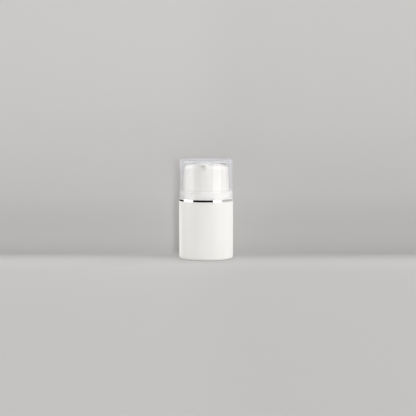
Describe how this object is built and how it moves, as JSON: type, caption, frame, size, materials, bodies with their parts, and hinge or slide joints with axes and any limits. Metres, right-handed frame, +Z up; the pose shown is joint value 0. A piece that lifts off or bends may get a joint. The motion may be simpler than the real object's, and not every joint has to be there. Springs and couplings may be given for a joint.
{
  "type": "airless pump bottle",
  "caption": "Small round bottle with a press-down airless pump, a bright ring and a clear over-cap.",
  "frame": {"origin": "centre of the foot, on the surface that the bottle stands on", "axes": "+Z up along the bottle's axis, -Y the way the nozzle points, +X to the right seen from the nozzle side"},
  "size_m": [0.04, 0.04, 0.0732],
  "materials": {
    "white_pp": "warm white injection-moulded polypropylene, soft gloss",
    "clear_cap": "water-clear styrene copolymer, polished",
    "bright_plating": "bright silver plating on moulded plastic",
    "natural_pp": "natural milky polypropylene",
    "natural_pe": "natural waxy polyethylene",
    "gasket_foam": "white soft sealing disc",
    "spring_steel": "stainless spring wire",
    "ball_glass": "glass valve ball"
  },
  "bodies": {
    "bottle_body": {"bottle": "white_pp", "trim_ring": "bright_plating", "collar": "white_pp", "pump_carrier": "natural_pp", "pump_gasket": "gasket_foam", "pump_cylinder": "natural_pp", "lock_ring": "natural_pp"},
    "cap_body": {"cap": "clear_cap"},
    "spring_body": {"return_spring": "spring_steel"},
    "head_body": {"actuator": "white_pp", "nozzle_insert": "white_pp", "stem": "natural_pp", "piston_rod": "natural_pp"},
    "sleeve_body": {"pump_piston": "natural_pe"},
    "follower_body": {"follower_piston": "natural_pe"},
    "ball_body": {"inlet_ball": "ball_glass"}
  },
  "joints": [
    {"name": "cap_lift", "type": "slide", "parent": "bottle_body", "child": "cap_body", "axis": [0, 0, 1], "range_m": [0, 0.035]},
    {"name": "head_swivel", "type": "hinge", "parent": "bottle_body", "child": "spring_body", "pos_m": [0, 0, 0.05], "axis": [0, 0, 1], "continuous": true},
    {"name": "head_press", "type": "slide", "parent": "spring_body", "child": "head_body", "axis": [0, 0, -1], "range_m": [0, 0.004], "stiffness_N_per_m": 1200, "springref_m": -0.005, "deforming": ["return_spring"]},
    {"name": "sleeve_lag", "type": "slide", "parent": "head_body", "child": "sleeve_body", "axis": [0, 0, 1], "range_m": [0, 0.0006]},
    {"name": "follower_rise", "type": "slide", "parent": "bottle_body", "child": "follower_body", "axis": [0, 0, 1], "range_m": [0, 0.0282]},
    {"name": "inlet_ball_lift", "type": "slide", "parent": "bottle_body", "child": "ball_body", "axis": [0, 0, 1], "range_m": [0, 0.0008]}
  ]
}
